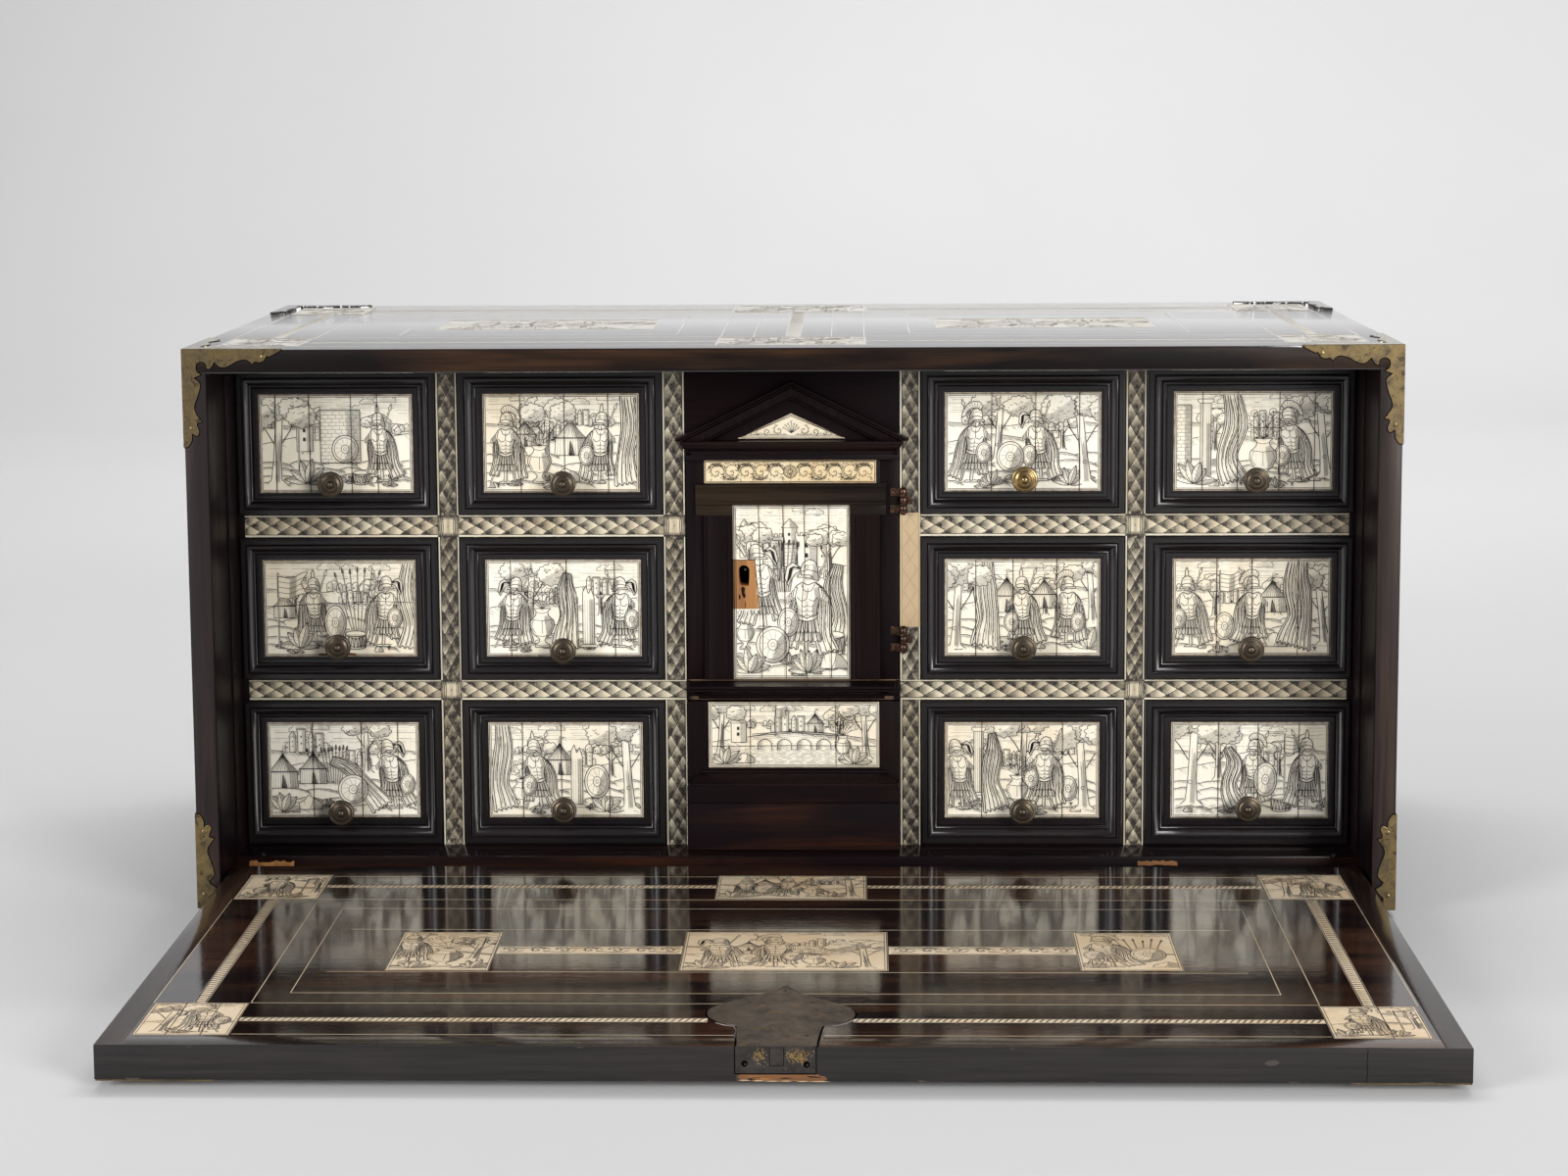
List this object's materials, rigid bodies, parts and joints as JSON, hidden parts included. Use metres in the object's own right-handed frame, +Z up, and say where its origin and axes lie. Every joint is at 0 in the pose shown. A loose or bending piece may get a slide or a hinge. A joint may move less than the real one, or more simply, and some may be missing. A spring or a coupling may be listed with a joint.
{
  "type": "fall-front table cabinet",
  "caption": "Table cabinet in ebony with engraved ivory plaques; its front hinges down before a bank of small drawers round an architectural door with a pediment.",
  "frame": {"origin": "centre of the underside of the case", "axes": "+X to the viewer's right along the front, +Y into the depth of the case, +Z up; the open fall front reaches to -Y"},
  "size_m": [1.002, 0.8506, 0.473],
  "materials": {
    "ebony": "polished",
    "carcass_wood": "satin",
    "braid": "satin",
    "ivory": "satin",
    "knob_bronze": "dark patina",
    "mount_brass": "aged",
    "iron": "dark, worn"
  },
  "bodies": {
    "case": {"carcass_top": "ebony", "carcass_boards": "carcass_wood", "side_panels": "ebony", "partitions": "carcass_wood", "recess_liner": "ebony", "braid_strips": "braid", "portal_case": "ebony", "carcass_plaques": "ivory", "fixed_hinge_leaves": "iron", "corner_mounts": "mount_brass", "back_mounts": "iron"},
    "fall_front": {"flap_board": "ebony", "flap_inlays": "ivory", "flap_lock": "iron", "flap_hinge_leaves": "iron", "flap_corner_mounts": "mount_brass"},
    "fall_front_bolt": {"lock_bolt": "iron"},
    "door": {"door_frame": "ebony", "door_lock_patch": "carcass_wood", "door_plaques": "ivory", "door_fittings": "iron"},
    "door_bolt": {"door_bolt": "iron"},
    "plinth_drawer": {"plinth_drawer": "ebony", "plinth_plaque": "ivory"},
    "drawer_one_top": {"drawer_one_top_case": "ebony", "drawer_one_top_plaque": "ivory", "drawer_one_top_knob": "knob_bronze"},
    "drawer_one_middle": {"drawer_one_middle_case": "ebony", "drawer_one_middle_plaque": "ivory", "drawer_one_middle_knob": "knob_bronze"},
    "drawer_one_bottom": {"drawer_one_bottom_case": "ebony", "drawer_one_bottom_plaque": "ivory", "drawer_one_bottom_knob": "knob_bronze"},
    "drawer_two_top": {"drawer_two_top_case": "ebony", "drawer_two_top_plaque": "ivory", "drawer_two_top_knob": "knob_bronze"},
    "drawer_two_middle": {"drawer_two_middle_case": "ebony", "drawer_two_middle_plaque": "ivory", "drawer_two_middle_knob": "knob_bronze"},
    "drawer_two_bottom": {"drawer_two_bottom_case": "ebony", "drawer_two_bottom_plaque": "ivory", "drawer_two_bottom_knob": "knob_bronze"},
    "drawer_three_top": {"drawer_three_top_case": "ebony", "drawer_three_top_plaque": "ivory", "drawer_three_top_knob": "knob_bronze"},
    "drawer_three_middle": {"drawer_three_middle_case": "ebony", "drawer_three_middle_plaque": "ivory", "drawer_three_middle_knob": "knob_bronze"},
    "drawer_three_bottom": {"drawer_three_bottom_case": "ebony", "drawer_three_bottom_plaque": "ivory", "drawer_three_bottom_knob": "knob_bronze"},
    "drawer_four_top": {"drawer_four_top_case": "ebony", "drawer_four_top_plaque": "ivory", "drawer_four_top_knob": "knob_bronze"},
    "drawer_four_middle": {"drawer_four_middle_case": "ebony", "drawer_four_middle_plaque": "ivory", "drawer_four_middle_knob": "knob_bronze"},
    "drawer_four_bottom": {"drawer_four_bottom_case": "ebony", "drawer_four_bottom_plaque": "ivory", "drawer_four_bottom_knob": "knob_bronze"}
  },
  "joints": [
    {"name": "fall_front_hinge", "type": "hinge", "parent": "case", "child": "fall_front", "pos_m": [0, -0.183, 0.0032], "axis": [1, 0, 0], "range_deg": [-90, 0]},
    {"name": "fall_front_bolt_slide", "type": "slide", "parent": "fall_front", "child": "fall_front_bolt", "axis": [0, -1, 0], "range_m": [0, 0.008]},
    {"name": "door_hinge", "type": "hinge", "parent": "case", "child": "door", "pos_m": [0.0942, -0.1246, 0.27], "axis": [0, 0, 1], "range_deg": [0, 90]},
    {"name": "door_bolt_slide", "type": "slide", "parent": "door", "child": "door_bolt", "axis": [1, 0, 0], "range_m": [-0.006, 0]},
    {"name": "plinth_drawer_slide", "type": "slide", "parent": "case", "child": "plinth_drawer", "axis": [0, -1, 0], "range_m": [0, 0.21]},
    {"name": "drawer_one_top_slide", "type": "slide", "parent": "case", "child": "drawer_one_top", "axis": [0, -1, 0], "range_m": [0, 0.22]},
    {"name": "drawer_one_middle_slide", "type": "slide", "parent": "case", "child": "drawer_one_middle", "axis": [0, -1, 0], "range_m": [0, 0.22]},
    {"name": "drawer_one_bottom_slide", "type": "slide", "parent": "case", "child": "drawer_one_bottom", "axis": [0, -1, 0], "range_m": [0, 0.22]},
    {"name": "drawer_two_top_slide", "type": "slide", "parent": "case", "child": "drawer_two_top", "axis": [0, -1, 0], "range_m": [0, 0.22]},
    {"name": "drawer_two_middle_slide", "type": "slide", "parent": "case", "child": "drawer_two_middle", "axis": [0, -1, 0], "range_m": [0, 0.22]},
    {"name": "drawer_two_bottom_slide", "type": "slide", "parent": "case", "child": "drawer_two_bottom", "axis": [0, -1, 0], "range_m": [0, 0.22]},
    {"name": "drawer_three_top_slide", "type": "slide", "parent": "case", "child": "drawer_three_top", "axis": [0, -1, 0], "range_m": [0, 0.22]},
    {"name": "drawer_three_middle_slide", "type": "slide", "parent": "case", "child": "drawer_three_middle", "axis": [0, -1, 0], "range_m": [0, 0.22]},
    {"name": "drawer_three_bottom_slide", "type": "slide", "parent": "case", "child": "drawer_three_bottom", "axis": [0, -1, 0], "range_m": [0, 0.22]},
    {"name": "drawer_four_top_slide", "type": "slide", "parent": "case", "child": "drawer_four_top", "axis": [0, -1, 0], "range_m": [0, 0.22]},
    {"name": "drawer_four_middle_slide", "type": "slide", "parent": "case", "child": "drawer_four_middle", "axis": [0, -1, 0], "range_m": [0, 0.22]},
    {"name": "drawer_four_bottom_slide", "type": "slide", "parent": "case", "child": "drawer_four_bottom", "axis": [0, -1, 0], "range_m": [0, 0.22]}
  ]
}
